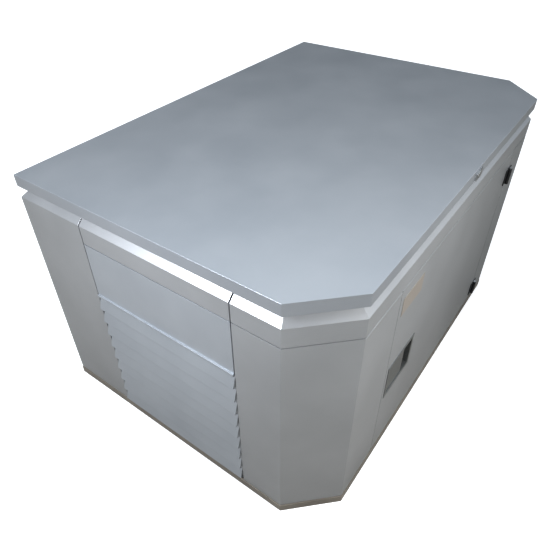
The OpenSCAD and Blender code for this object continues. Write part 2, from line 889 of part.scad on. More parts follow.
module cylinder_heads() color("#a7a9ab") for (i = [0, 1]) bank(i) {
    block([-62, -62, barrel_top], [62, 62, barrel_top + 12]);
    block([-50, -50, barrel_top + 12], [50, 50, head_top]);
    for (k = [1:4])
        block(
            [-62, -62, barrel_top + 12 + k * 9],
            [62, 62, barrel_top + 15 + k * 9]
        );
}

module valve_covers() color("#3a3c3e") for (i = [0, 1]) bank(i) {
    translate([0, 0, head_top]) linear_extrude(6) offset(r = 10, $fn = 32) square(92, center = true);
    translate([0, 0, head_top + 6]) linear_extrude(24) offset(r = 12, $fn = 32) square(76, center = true);
}

blower_l = 90;
blower_r = 150;

module blower_housing() color("#2f3133") {
    translate([case_x1, 0, crank_z]) rotate([0, 90, 0]) {
        difference() {
            cylinder(r = blower_r, h = blower_l, $fn = 96);
            translate([0, 0, 3]) cylinder(r = blower_r - 3, h = blower_l - 6, $fn = 96);
            translate([0, 0, -over]) cylinder(r = journal_r + 20, h = 10, $fn = 64);
            translate([0, 0, blower_l - 10]) cylinder(r = 95, h = 20, $fn = 96);
        }
        // Guard rings over the inlet
        for (r = [40, 65])
            translate([0, 0, blower_l - 3]) difference() {
                cylinder(r = r + 2, h = 3, $fn = 64);
                translate([0, 0, -over]) cylinder(r = r - 2, h = 5, $fn = 64);
            }
        for (a = [0:45:135]) rotate([0, 0, a])
            translate([-96, -2, blower_l - 3]) cube([192, 4, 3]);
    }
}

shaft_end = case_x1 + 62;

module crankshaft() color("#8d8f91") translate([0, 0, crank_z]) rotate([0, 90, 0]) {
    translate([0, 0, case_x0 - 20]) cylinder(r = journal_r, h = 70, $fn = 64);
    translate([0, 0, case_x1 - 60]) cylinder(r = journal_r, h = 60, $fn = 64);
    translate([0, 0, case_x1 - over]) cylinder(r = 18, h = shaft_end - case_x1 + over, $fn = 64);
    for (x = [case_x0 + 40, case_x1 - 64])
        translate([0, 0, x]) cylinder(r = web_r, h = 24, $fn = 64);
    translate([32, 0, case_x0 + 60]) cylinder(r = 20, h = case_l - 120, $fn = 64);
}

module flywheel_fan() color("#76797c") translate([case_x1 + 12, 0, crank_z]) rotate([0, 90, 0])
    difference() {
        union() {
            cylinder(r = fan_r, h = 14, $fn = 96);
            cylinder(r = 45, h = 50, $fn = 64);
            for (a = [0:20:340]) rotate([0, 0, a])
                translate([70, -1.5, 10]) cube([fan_r - 76, 3, 40]);
        }
        translate([0, 0, -over]) cylinder(r = 18, h = 60, $fn = 64);
    }

// ---- Alternator ----

alt_x0 = case_x0 - alternator_l;
core_r = alternator_r - 9;
rotor_r = 84;

module alternator_case() color("#5f6265") difference() {
    union() {
        translate([alt_x0, 0, crank_z]) rotate([0, 90, 0])
            cylinder(r = alternator_r, h = alternator_l, $fn = 96);
        for (x = [alt_x0 + 60, case_x0 - 60])
            block([x - 20, -100, bed_z], [x + 20, 100, crank_z - 60]);
    }
    translate([alt_x0 + 12, 0, crank_z]) rotate([0, 90, 0])
        cylinder(r = alternator_r - 8, h = alternator_l - 20, $fn = 96);
    translate([alt_x0 - over, 0, crank_z]) rotate([0, 90, 0])
        cylinder(r = 18 + run, h = 20, $fn = 64);
    translate([case_x0 - 12, 0, crank_z]) rotate([0, 90, 0])
        cylinder(r = journal_r + 5, h = 20, $fn = 64);
    for (a = [0:30:330]) translate([alt_x0 - over, 0, crank_z]) rotate([a, 0, 0])
        translate([0, -6, 50]) cube([14, 12, 40]);
}

module alternator_stator() color("#7a4a2a") translate([alt_x0 + 60, 0, crank_z]) rotate([0, 90, 0])
    difference() {
        cylinder(r = core_r + 1 - 0.2, h = alternator_l - 120, $fn = 96);
        translate([0, 0, -over]) cylinder(r = rotor_r + 1, h = alternator_l - 110, $fn = 96);
    }

module alternator_rotor() color("#96724a") translate([alt_x0, 0, crank_z]) rotate([0, 90, 0]) {
    translate([0, 0, 2]) cylinder(r = 18, h = alternator_l - 22, $fn = 64);
    translate([0, 0, 65]) cylinder(r = rotor_r, h = alternator_l - 130, $fn = 96);
}

// ---- Engine fittings ----

module starter_motor() color("#2c2e30") {
    translate([case_x0 + 50, 143, crank_z - 70]) rotate([0, 90, 0]) cylinder(r = 36, h = 150, $fn = 64);
    block([case_x0 + 60, 105, crank_z - 95], [case_x0 + 75, 143, crank_z - 45]);
    block([case_x0 + 170, 105, crank_z - 95], [case_x0 + 185, 143, crank_z - 45]);
    translate([case_x0 + 60, 143, crank_z - 18]) rotate([0, 90, 0]) cylinder(r = 17, h = 90, $fn = 48);
}

module oil_filter() color("#d8d8d4")
    translate([case_x1 - 60, -105, crank_z - 80]) rotate([90, 0, 0]) {
        cylinder(r = 30, h = 6, $fn = 64);
        translate([0, 0, 6]) cylinder(r = 38, h = 78, $fn = 64);
        translate([0, 0, 84]) cylinder(r = 28, h = 6, $fn = 12);
    }

dip_z = bed_z + 300;

module dipstick() color("#c9a227") {
    translate([case_x0 + 24, -112, bed_z + 44]) cylinder(r = 2.5, h = dip_z - bed_z - 40, $fn = 48);
    translate([case_x0 + 24, -112, dip_z]) cylinder(r = 8, h = 8, $fn = 48);
    translate([case_x0 + 24, -112, dip_z + 24]) rotate([90, 0, 0])
        rotate_extrude($fn = 48) translate([16, 0]) circle(r = 3, $fn = 24);
}

// The inlet ports sit on the inner faces of the two heads
port_r = barrel_top + head_h / 2;
port_w = 62;
cos_45 = cos(45);
port_y = (port_r - port_w) * cos_45;
port_z = crank_z + (port_r + port_w) * cos_45;
manifold_x = (cyl_xs[0] + cyl_xs[1]) / 2;
elbow = 26;
manifold_z = port_z + elbow;
manifold_r = 14;

module intake_manifold() color("#b4b6b8") {
    pipe_run(
        [
            [manifold_x, -port_y, port_z],
            [manifold_x, -port_y + elbow, manifold_z],
            [manifold_x, port_y - elbow, manifold_z],
            [manifold_x, port_y, port_z]
        ],
        manifold_r
    );
    block([manifold_x - 26, -26, manifold_z], [manifold_x + 26, 26, manifold_z + 18]);
}

mixer_z = manifold_z + 18;
mixer_h = 46;

module gas_mixer() color("#c2c4c6") difference() {
    union() {
        translate([manifold_x, 0, mixer_z]) cylinder(r = 25, h = mixer_h, $fn = 64);
        block([manifold_x - 26, -26, mixer_z], [manifold_x + 26, 26, mixer_z + 6]);
        block([manifold_x - 40, -12, mixer_z + 14], [manifold_x, 12, mixer_z + 38]);
    }
    translate([manifold_x, 0, mixer_z - over]) cylinder(r = 16, h = mixer_h + 2 * over, $fn = 64);
    translate([manifold_x, 0, mixer_z + 26]) rotate([0, 90, 0])
        cylinder(r = 3 + run, h = 40, $fn = 48);
}

module throttle_lever() color("#d0b050") {
    translate([manifold_x + 18, 0, mixer_z + 26]) rotate([0, 90, 0]) cylinder(r = 3, h = 13, $fn = 48);
    difference() {
        block([manifold_x + 28, -5, mixer_z - 2], [manifold_x + 31, 5, mixer_z + 31]);
        translate([manifold_x + 27, 0, mixer_z + 2]) rotate([0, 90, 0]) cylinder(r = 1.5, h = 5, $fn = 48);
    }
}

filter_z = mixer_z + mixer_h;
filter_h = min(70, lid_under - lid_foam_t - 12 - filter_z);

module air_filter_box() color("#26282a") {
    difference() {
        translate([manifold_x, 0, filter_z]) linear_extrude(filter_h)
            offset(r = 16, $fn = 32) square([150, 150], center = true);
        translate([manifold_x, 0, filter_z + 3]) linear_extrude(filter_h)
            offset(r = 13, $fn = 32) square([150, 150], center = true);
        translate([manifold_x, 0, filter_z - over]) cylinder(r = 16, h = 6, $fn = 64);
    }
    // Cover, pressed on top of the box
    translate([manifold_x, 0, filter_z + filter_h]) {
        linear_extrude(5) offset(r = 16, $fn = 32) square([150, 150], center = true);
        cylinder(r = 9, h = 10, $fn = 48);
    }
}

// ---- Exhaust ----

module bulkhead() color("#8f9295") difference() {
    block(
        [bulkhead_x, -width / 2 + post_in + post + over, base_t],
        [bulkhead_x + sheet, width / 2 - post_in - post - over, upstand_z]
    );
    for (side = [-1, 1])
        translate([bulkhead_x - over, side * pipe_y, pipe_z]) rotate([0, 90, 0])
            cylinder(r = pipe_r + 4, h = 6, $fn = 48);
    translate([bulkhead_x - over, 0, crank_z]) rotate([0, 90, 0]) cylinder(r = 110, h = 6, $fn = 96);
    for (side = [-1, 1])
        block(
            [bulkhead_x - over, side * rail_y - 40, -over],
            [bulkhead_x + 5, side * rail_y + 40, base_t + 30]
        );
}

pipe_r = 16;
exhaust_y = (port_r + port_w) * cos_45;
exhaust_z = crank_z + (port_r - port_w) * cos_45;
pipe_out = 22;
pipe_y = exhaust_y + pipe_out;
pipe_z = exhaust_z - pipe_out;
muffler_x = bulkhead_x + 92;
muffler_l = 360;

module muffler_and_pipes() color("#6d655c") {
    for (i = [0, 1]) {
        side = i == 0 ? 1 : -1;
        pipe_run(
            [
                [cyl_xs[i], side * exhaust_y, exhaust_z],
                [cyl_xs[i], side * pipe_y, pipe_z],
                [muffler_x, side * pipe_y, pipe_z],
                [muffler_x, side * (muffler_l / 2 - 2), pipe_z]
            ],
            pipe_r
        );
    }
    translate([muffler_x, muffler_l / 2, pipe_z]) rotate([90, 0, 0])
        cylinder(d = muffler_d, h = muffler_l, $fn = 96);
    rod([muffler_x, 0, pipe_z], [muffler_x + muffler_d / 2 + 8, 0, pipe_z], 20);
    for (y = [-100, 100])
        block([muffler_x - 20, y - 3, base_t], [muffler_x + 20, y + 3, pipe_z - muffler_d / 2 + 20]);
}

// ---- Battery and gas ----

battery_end_gap = 55;
battery_cut_gap = 45;
battery_y = -rail_y - rail_w / 2 - 12 - battery_w;
battery_x = max(
    -length / 2 + battery_end_gap,
    -(length / 2 + width / 2 - corner_leg - battery_cut_gap) - battery_y
);
battery_z = base_t + 18;

module battery() color("#1b1c1e") {
    block(
        [battery_x, battery_y, battery_z],
        [battery_x + battery_l, battery_y + battery_w, battery_z + battery_h]
    );
    for (x = [battery_x + 30, battery_x + battery_l - 30])
        translate([x, battery_y + 25, battery_z + battery_h]) cylinder(r = 9, h = 14, $fn = 48);
    for (y = [battery_y + 10, battery_y + battery_w - 30])
        block([battery_x, y, base_t], [battery_x + battery_l, y + 20, battery_z]);
}

reg_y = width / 2 - 188;
valve_y = width / 2 - 87;
outlet_l = 60;
inlet_y = width / 2 + 2;
inlet_l = 30;

// Threaded coupling through the back, bored for the supply pipe
module gas_coupling() color("#b8964a") difference() {
    translate([gas_x, inlet_y, gas_z]) rotate([90, 0, 0])
        cylinder(r = gas_r + hub_wall, h = inlet_l, $fn = 64);
    translate([gas_x, inlet_y + over, gas_z]) rotate([90, 0, 0])
        cylinder(r = gas_r, h = 25 + over, $fn = 64);
}

// Pipe, valve body, regulator and its stand in one solid
module gas_regulator() color("#b8964a") difference() {
    union() {
        translate([gas_x, inlet_y - inlet_l, gas_z]) rotate([90, 0, 0])
            cylinder(r = 12, h = inlet_y - inlet_l - reg_y, $fn = 48);
        block([gas_x - 18, valve_y - 21, gas_z - 18], [gas_x + 18, valve_y + 21, gas_z + 18]);
        // Regulator body, diaphragm housing and stand
        translate([gas_x, reg_y, gas_z - 30]) cylinder(r = 34, h = 60, $fn = 64);
        translate([gas_x, reg_y, gas_z + 30]) cylinder(r = 62, h = 12, $fn = 64);
        translate([gas_x, reg_y, gas_z + 42]) cylinder(r1 = 58, r2 = 30, h = 20, $fn = 64);
        translate([gas_x, reg_y, base_t]) cylinder(r = 12, h = gas_z - 30, $fn = 48);
        // Outlet to the rigid pipe
        translate([gas_x, reg_y, gas_z]) rotate([0, 90, 0]) cylinder(r = 11, h = outlet_l, $fn = 48);
    }
    translate([gas_x, valve_y, gas_z + 8]) cylinder(r = 5 + run, h = 12, $fn = 48);
}

// Rigid pipe with elbows, from the regulator up and over to the mixer
module gas_pipe() color("#8a8d90") pipe_run(
    [
        [gas_x + outlet_l, reg_y, gas_z],
        [gas_x + outlet_l + 30, reg_y, gas_z],
        [gas_x + outlet_l + 30, reg_y, mixer_z + 26],
        [gas_x + outlet_l + 30, 0, mixer_z + 26],
        [manifold_x - 40, 0, mixer_z + 26]
    ],
    9
);

// Quarter-turn lever, left in line with the pipe
module gas_valve_lever() color("#c8a018") {
    translate([gas_x, valve_y, gas_z + 8 + clear]) cylinder(r = 5, h = 28, $fn = 48);
    block([gas_x - 7, valve_y - 7, gas_z + 32], [gas_x + 7, valve_y + 59, gas_z + 36]);
}

// ---- Controls ----

box_x0 = door_x0 + 30;
box_x1 = box_x0 + 250;
box_y0 = -width / 2 + upstand_in + 1;
box_y1 = box_y0 + 90;
box_z0 = upstand_z - 200;

// Places of the three controls on the box's front wall
switch_x = box_x0 + 60;
stop_x = box_x0 + 120;
breaker_x = box_x0 + 190;
control_z = box_z0 + 70;
pivot_in = 12;

module control_box() color("#3b3d40") difference() {
    union() {
        difference() {
            block([box_x0, box_y0, box_z0], [box_x1, box_y1, upstand_z]);
            block([box_x0 + 3, box_y0 + 3, box_z0 + 3], [box_x1 - 3, box_y1 - 3, upstand_z - 3]);
        }
        // Lugs that carry the breaker's lever
        for (side = [-1, 1])
            block(
                [breaker_x + side * 7.5 - 2.5, box_y0 + 2, control_z - 8],
                [breaker_x + side * 7.5 + 2.5, box_y0 + pivot_in + 6, control_z + 8]
            );
    }
    translate([switch_x, box_y0 - over, control_z]) rotate([-90, 0, 0])
        cylinder(r = 4 + run, h = 6, $fn = 48);
    translate([stop_x, box_y0 - over, control_z]) rotate([-90, 0, 0])
        cylinder(r = 6 + run, h = 6, $fn = 48);
    block(
        [breaker_x - 4.6, box_y0 - over, control_z - 5.5],
        [breaker_x + 4.6, box_y0 + 4, control_z + 16]
    );
    translate([breaker_x - 12, box_y0 + pivot_in, control_z]) rotate([0, 90, 0])
        cylinder(r = 3 + run, h = 24, $fn = 48);
}

module mode_switch() color("#161718") translate([switch_x, box_y0, control_z]) rotate([90, 0, 0]) {
    translate([0, 0, -12]) cylinder(r = 4, h = 14, $fn = 48);
    translate([0, 0, 1]) cylinder(r = 15, h = 3, $fn = 64);
    translate([-4, -14, 1]) cube([8, 28, 9]);
}

module stop_button() color("#b3201c") translate([stop_x, box_y0, control_z]) rotate([90, 0, 0]) {
    translate([0, 0, -8]) cylinder(r = 6, h = 15, $fn = 48);
    translate([0, 0, 5.5]) cylinder(r = 13, h = 4, $fn = 64);
}

module breaker_lever() color("#202224") {
    translate([breaker_x - 10, box_y0 + pivot_in, control_z]) rotate([0, 90, 0])
        cylinder(r = 3, h = 20, $fn = 48);
    block(
        [breaker_x - 4, box_y0 - 7, control_z - 4],
        [breaker_x + 4, box_y0 + pivot_in, control_z + 4]
    );
}

base_tray();
weather_seals();
enclosure_frame();
door_surround();
rear_corner_panels();
end_headers();
end_louvres();
front_left_panel();
front_rim();
front_right_panel();
back_panel();
back_foam();
bulkhead();
lid_hinge_frame_leaves();
door_hinge_frame_leaves();
hinge_pins();
lid_shell();
lid_foam();
lid_hinge_lid_leaves();
lid_lock_case();
lid_lock_barrel();
lid_stay();
door_skin();
door_foam();
data_plate();
door_hinge_door_leaves();
latch_dish();
latch_paddle();
latch_bolt();
engine_rails();
engine_mounts();
mount_bolts();
engine_cradle();
crankcase();
cylinders();
cylinder_heads();
valve_covers();
blower_housing();
crankshaft();
flywheel_fan();
alternator_case();
alternator_stator();
alternator_rotor();
starter_motor();
oil_filter();
dipstick();
intake_manifold();
gas_mixer();
throttle_lever();
air_filter_box();
muffler_and_pipes();
battery();
gas_coupling();
gas_regulator();
gas_pipe();
gas_valve_lever();
control_box();
mode_switch();
stop_button();
breaker_lever();
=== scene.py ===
# %% [markdown]
# # A home standby generator in its sheet-metal enclosure
# The frame is the engineering model: every panel, hinge and engine part at its real size, in metres,
# with Z up, the enclosure's length along X and the service door facing -Y. This lesson adds what makes
# it look real: powder-coated sheet with rolled edges, rubber seals, acoustic foam, cast and plated
# metal, and the studio around it.

# %% Load the frame
import math

import bmesh
import bpy
from mathutils import Matrix, Vector, noise


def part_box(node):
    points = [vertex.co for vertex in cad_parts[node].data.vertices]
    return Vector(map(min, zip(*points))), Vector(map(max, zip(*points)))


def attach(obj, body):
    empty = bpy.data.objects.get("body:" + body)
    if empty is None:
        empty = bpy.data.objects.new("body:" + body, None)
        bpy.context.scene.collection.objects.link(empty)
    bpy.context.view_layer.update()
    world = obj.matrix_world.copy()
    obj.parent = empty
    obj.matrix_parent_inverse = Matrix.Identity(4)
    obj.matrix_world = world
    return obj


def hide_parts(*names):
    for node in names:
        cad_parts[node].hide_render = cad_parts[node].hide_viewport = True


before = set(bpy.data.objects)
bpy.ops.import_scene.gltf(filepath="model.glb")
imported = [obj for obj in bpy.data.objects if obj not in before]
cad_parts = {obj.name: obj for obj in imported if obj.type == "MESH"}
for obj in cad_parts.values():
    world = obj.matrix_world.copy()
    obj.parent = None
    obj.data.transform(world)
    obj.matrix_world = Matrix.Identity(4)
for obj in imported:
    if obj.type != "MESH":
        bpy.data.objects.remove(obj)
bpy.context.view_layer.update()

scene = bpy.context.scene
MM = 0.001

# %% [markdown]
# ## The camera
# The enclosure is seen from above its intake end, close up, so the perspective is strong. The camera is
# placed by where it stands, where it looks and which way is up, and its small lens shift keeps the
# framing without turning it.

# %% The camera
FRAME_PX = 553
FOCAL_PX = 516.9
eye = Vector((-1.1093, -0.6650, 1.2656))
look = Vector((0.6126, 0.4707, -0.6350)).normalized()
upward = Vector((0.5194, 0.3658, 0.7722))
side = look.cross(upward).normalized()
upward = side.cross(look)
camera_data = bpy.data.cameras.new("studio_camera")
camera_data.sensor_width = 36.0
camera_data.lens = camera_data.sensor_width * FOCAL_PX / FRAME_PX
camera_data.shift_x = 0.0275
camera_data.shift_y = -0.0125
camera_data.clip_start = 0.05
camera_data.clip_end = 60.0
camera = bpy.data.objects.new("studio_camera", camera_data)
turn = Matrix((side, upward, -look)).transposed().to_4x4()
camera.matrix_world = Matrix.Translation(eye) @ turn
scene.collection.objects.link(camera)
scene.camera = camera
print("lens:", round(camera_data.lens, 2), "mm")

# %% [markdown]
# ## Colours and nodes
# Every colour is written as the sRGB hex value that a painter would read off a swatch, and one function
# turns it into the linear values that the renderer adds up. One more function adds a shader node with
# its settings and its links, so each finish below reads as a short recipe.


# %% Colours and nodes
def linear(hex_code):
    """An sRGB hex colour as linear red, green, blue and alpha."""
    levels = [int(hex_code[i:i + 2], 16) / 255 for i in (0, 2, 4)]
    return tuple(c / 12.92 if c <= 0.04045 else ((c + 0.055) / 1.055) ** 2.4 for c in levels) + (1.0,)


def add_node(tree, kind, settings=None, links=None):
    """Adds a node. settings are properties or input values; links are input: (node, output)."""
    node = tree.nodes.new(kind)
    for key, value in (settings or {}).items():
        if isinstance(key, str) and hasattr(node, key):
            setattr(node, key, value)
        else:
            node.inputs[key].default_value = value
    for key, (source, output) in (links or {}).items():
        tree.links.new(source.outputs[output], node.inputs[key])
    return node


def new_material(name, **sockets):
    """A material whose Principled shader has the given constant values."""
    material = bpy.data.materials.new(name)
    material.use_nodes = True
    shader = material.node_tree.nodes["Principled BSDF"]
    for socket, value in sockets.items():
        shader.inputs[socket.replace("_", " ")].default_value = value
    return material, material.node_tree, shader


print("white:", linear("ffffff"))

# %% [markdown]
# ## Powder-coated sheet
# The panels are zinc-coated steel, sprayed with a silver-grey polyester powder and baked. The powder
# melts into a skin about 0.08 mm thick with a faint orange peel, 2 to 4 mm from crest to crest, and tiny
# metallic flakes give it a soft sheen. So it is a partly metallic surface of middling roughness, with a
# very low bump for the peel and a slight unevenness of tone over a hand's width.


# %% Powder-coated sheet
FLAKE, CLOUD, PEEL = 1.2 * MM, 130 * MM, 2.6 * MM
PEEL_DEPTH = 0.1 * MM


def powder_coat(name, tone, shade, roughness, metallic=0.55):
    """Baked powder paint: flake speckle, cloudy tone and orange peel."""
    material, tree, shader = new_material(name, Metallic=metallic, Coat_Weight=0.12, Coat_Roughness=0.22)
    place = add_node(tree, "ShaderNodeTexCoord")
    flakes = add_node(tree, "ShaderNodeTexNoise", {"Scale": 1 / FLAKE, "Detail": 2.0},
                      {"Vector": (place, "Object")})
    cloud = add_node(tree, "ShaderNodeTexNoise", {"Scale": 1 / CLOUD, "Detail": 3.0},
                     {"Vector": (place, "Object")})
    mixed = add_node(tree, "ShaderNodeMath", {"operation": "MULTIPLY_ADD", 1: 0.35},
                     {0: (flakes, "Fac"), 2: (cloud, "Fac")})
    ramp = add_node(tree, "ShaderNodeValToRGB", None, {"Fac": (mixed, 0)})
    ramp.color_ramp.elements[0].position = 0.35
    ramp.color_ramp.elements[0].color = linear(shade)
    ramp.color_ramp.elements[1].position = 0.95
    ramp.color_ramp.elements[1].color = linear(tone)
    tree.links.new(ramp.outputs["Color"], shader.inputs["Base Color"])
    gloss = add_node(tree, "ShaderNodeMapRange",
                     {"To Min": roughness - 0.03, "To Max": roughness + 0.04}, {"Value": (cloud, "Fac")})
    tree.links.new(gloss.outputs["Result"], shader.inputs["Roughness"])
    peel = add_node(tree, "ShaderNodeTexNoise", {"Scale": 1 / PEEL, "Detail": 1.0},
                    {"Vector": (place, "Object")})
    bump = add_node(tree, "ShaderNodeBump", {"Strength": 0.10, "Distance": PEEL_DEPTH},
                    {"Height": (peel, "Fac")})
    tree.links.new(bump.outputs["Normal"], shader.inputs["Normal"])
    return material


panel_paint = powder_coat("powder_silver_panels", "aaacae", "9ea0a2", 0.36)
lid_paint = powder_coat("powder_silver_lid", "a7abb0", "9ba0a6", 0.32)
blade_paint = powder_coat("powder_silver_blades", "aeb3b8", "a2a7ad", 0.40)
print("powder coats:", panel_paint.name, lid_paint.name, blade_paint.name)

# %% [markdown]
# ## Bare and plated metal
# Inside, most metal is either zinc-plated or galvanised steel, cast aluminium or grey iron. Rolled and
# plated sheet shows faint directional streaks, while castings show the grain of the sand or die. One
# recipe covers both: the grain's size, its stretch and its depth are what change.


# %% Bare and plated metal
DARK_STOP, LIGHT_STOP = 0.3, 0.7


def bare_metal(name, tone, shade, roughness, grain_mm, stretch=1.0, depth_mm=0.03, metallic=1.0):
    """Metal with a grain: stretch above 1 pulls the grain out along X, as rolling does."""
    material, tree, shader = new_material(name, Metallic=metallic)
    place = add_node(tree, "ShaderNodeTexCoord")
    scale = add_node(tree, "ShaderNodeMapping", {"Scale": (1 / stretch, 1.0, 1.0)},
                     {"Vector": (place, "Object")})
    grain = add_node(tree, "ShaderNodeTexNoise", {"Scale": 1 / (grain_mm * MM), "Detail": 3.0},
                     {"Vector": (scale, "Vector")})
    ramp = add_node(tree, "ShaderNodeValToRGB", None, {"Fac": (grain, "Fac")})
    ramp.color_ramp.elements[0].position = DARK_STOP
    ramp.color_ramp.elements[0].color = linear(shade)
    ramp.color_ramp.elements[1].position = LIGHT_STOP
    ramp.color_ramp.elements[1].color = linear(tone)
    tree.links.new(ramp.outputs["Color"], shader.inputs["Base Color"])
    gloss = add_node(tree, "ShaderNodeMapRange",
                     {"To Min": roughness - 0.06, "To Max": roughness + 0.08}, {"Value": (grain, "Fac")})
    tree.links.new(gloss.outputs["Result"], shader.inputs["Roughness"])
    bump = add_node(tree, "ShaderNodeBump", {"Strength": 0.35, "Distance": depth_mm * MM},
                    {"Height": (grain, "Fac")})
    tree.links.new(bump.outputs["Normal"], shader.inputs["Normal"])
    return material


galvanised = bare_metal("galvanised_sheet", "a9adb0", "8f9396", 0.42, 14.0, 1.0, 0.01)
zinc = bare_metal("zinc_plated_steel", "c2c5c8", "adb0b4", 0.28, 3.0, 6.0, 0.01)
chrome = bare_metal("chromed_lock", "e4e5e6", "d4d6d8", 0.14, 2.0, 1.0, 0.003)
cast_aluminium = bare_metal("cast_aluminium", "a4a6a8", "8c8e90", 0.48, 1.8, 1.0, 0.12)
grey_iron = bare_metal("grey_iron", "6b6c6e", "525355", 0.58, 2.2, 1.0, 0.15)
lamination = bare_metal("varnished_laminations", "8a5a34", "5d3a20", 0.40, 1.2, 1.0, 0.05, 0.7)
exhaust_steel = bare_metal("heat_stained_steel", "8d8176", "66594e", 0.46, 22.0, 2.0, 0.03)
brass = bare_metal("machined_brass", "c2a15e", "a98848", 0.30, 1.5, 4.0, 0.01)
plate_foil = bare_metal("anodised_plate", "b3aaa0", "a69d93", 0.36, 1.0, 20.0, 0.003, 0.55)
print("metals ready")

# %% [markdown]
# ## Paint, plastic, rubber and foam
# The rest is not metal on its surface: black-painted steel, moulded polypropylene, EPDM rubber and
# polyether foam. Moulded and painted parts differ in their gloss and in the texture of the tool or the
# spray. Foam shows its fine cells in the bump of its surface, and its tone varies slowly like the rest.


# %% Paint, plastic, rubber and foam
TINT = 60 * MM


def coated(name, tone, shade, roughness, texture_mm, depth_mm, **sockets):
    """A non-metal surface with an even texture of the given width and depth."""
    material, tree, shader = new_material(name, **sockets)
    place = add_node(tree, "ShaderNodeTexCoord")
    texture = add_node(tree, "ShaderNodeTexVoronoi", {"Scale": 1 / (texture_mm * MM)},
                       {"Vector": (place, "Object")})
    tint = add_node(tree, "ShaderNodeTexNoise", {"Scale": 1 / TINT, "Detail": 2.0},
                    {"Vector": (place, "Object")})
    ramp = add_node(tree, "ShaderNodeValToRGB", None, {"Fac": (tint, "Fac")})
    ramp.color_ramp.elements[0].position = DARK_STOP
    ramp.color_ramp.elements[0].color = linear(shade)
    ramp.color_ramp.elements[1].position = LIGHT_STOP
    ramp.color_ramp.elements[1].color = linear(tone)
    tree.links.new(ramp.outputs["Color"], shader.inputs["Base Color"])
    gloss = add_node(tree, "ShaderNodeMapRange",
                     {"To Min": roughness - 0.05, "To Max": roughness + 0.05}, {"Value": (tint, "Fac")})
    tree.links.new(gloss.outputs["Result"], shader.inputs["Roughness"])
    bump = add_node(tree, "ShaderNodeBump", {"Strength": 0.4, "Distance": depth_mm * MM},
                    {"Height": (texture, "Distance")})
    tree.links.new(bump.outputs["Normal"], shader.inputs["Normal"])
    return material


base_paint = coated("bronze_base_paint", "8c857a", "7a7369", 0.42, 2.5, 0.02, Metallic=0.3)
black_paint = coated("black_spray_paint", "1d1e20", "151618", 0.34, 1.6, 0.02, Specular_IOR_Level=0.5)
control_paint = coated("charcoal_wrinkle_paint", "35373a", "2a2c2f", 0.50, 1.2, 0.10)
filter_paint = coated("white_enamel", "dedcd6", "d2d0c9", 0.22, 4.0, 0.01, Coat_Weight=0.3)
latch_paint = bare_metal("latch_grey_zinc", "8b8d8c", "7b7d7c", 0.34, 5.0, 1.0, 0.01, 0.85)
black_plastic = coated("moulded_black_plastic", "1a1b1d", "131415", 0.46, 0.9, 0.04)
yellow_plastic = coated("yellow_plastic", "d8a21a", "c79414", 0.35, 2.0, 0.01)
red_plastic = coated("red_plastic", "b3241c", "a31e17", 0.28, 2.0, 0.01)
seal_rubber = coated("epdm_rubber", "1a1a1b", "111112", 0.72, 1.0, 0.05)
foam_pores = coated("polyether_foam", "2c2c2f", "1d1d20", 0.95, 1.6, 0.6, Sheen_Weight=0.15)
print("coatings ready")

# %% [markdown]
# ## Each part gets its finish
# The frame's parts already have their true shape, so they only need their finish. The table goes from
# each finish to the parts that have it.

# %% Each part gets its finish
FINISHES = {
    panel_paint: ["rear_corner_panels", "end_headers", "front_left_panel", "front_rim",
                  "front_right_panel", "back_panel", "door_skin"],
    lid_paint: ["lid_shell"],
    blade_paint: ["end_louvres"],
    base_paint: ["base_tray"],
    galvanised: ["enclosure_frame", "door_surround", "bulkhead"],
    zinc: ["lid_hinge_frame_leaves", "lid_hinge_lid_leaves", "hinge_pins", "lid_stay", "latch_bolt",
           "mount_bolts", "lid_lock_case", "gas_pipe"],
    chrome: ["lid_lock_barrel"],
    latch_paint: ["latch_dish", "latch_paddle"],
    plate_foil: ["data_plate"],
    black_paint: ["door_hinge_frame_leaves", "door_hinge_door_leaves", "engine_rails", "engine_cradle",
                  "valve_covers", "starter_motor"],
    cast_aluminium: ["crankcase", "cylinder_heads", "alternator_case", "intake_manifold", "gas_mixer"],
    grey_iron: ["cylinders", "crankshaft", "flywheel_fan"],
    lamination: ["alternator_stator", "alternator_rotor"],
    exhaust_steel: ["muffler_and_pipes"],
    brass: ["gas_coupling", "gas_regulator", "throttle_lever"],
    filter_paint: ["oil_filter"],
    control_paint: ["control_box"],
    black_plastic: ["blower_housing", "air_filter_box", "battery", "mode_switch", "breaker_lever"],
    yellow_plastic: ["dipstick", "gas_valve_lever"],
    red_plastic: ["stop_button"],
    seal_rubber: ["engine_mounts"],
}
for finish, names in FINISHES.items():
    for name in names:
        for material_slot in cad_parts[name].material_slots:
            material_slot.material = finish
left = set(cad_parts) - {name for names in FINISHES.values() for name in names}
print("soft parts, made below:", sorted(left))

# %% [markdown]
# ## Rolled edges
# Folded sheet has no sharp edge: the outer radius of each fold is about the sheet's thickness, and the
# powder rounds it further. Those radii are the bright lines that outline every panel. A bevel modifier
# rounds the sharp edges of the sheet parts, after a weld has joined the faces that the file keeps apart.
# The width differs: the lid is rolled widest, the panels and base a little less, and the blades and small
# fittings thinly.


# %% Rolled edges
JOIN_WITHIN = 0.002 * MM
EDGE_STEPS = 3
SHARP_ABOVE = 32


def roll_edges(name, width_mm):
    """Rounds the sharp edges of one part, and shades the rounded faces smoothly."""
    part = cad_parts[name]
    weld = part.modifiers.new("join_faces", "WELD")
    weld.merge_threshold = JOIN_WITHIN
    edge = part.modifiers.new("rolled_edge", "BEVEL")
    edge.width = width_mm * MM
    edge.segments = EDGE_STEPS
    edge.limit_method = "ANGLE"
    edge.angle_limit = math.radians(SHARP_ABOVE)
    edge.use_clamp_overlap = True
    edge.harden_normals = True


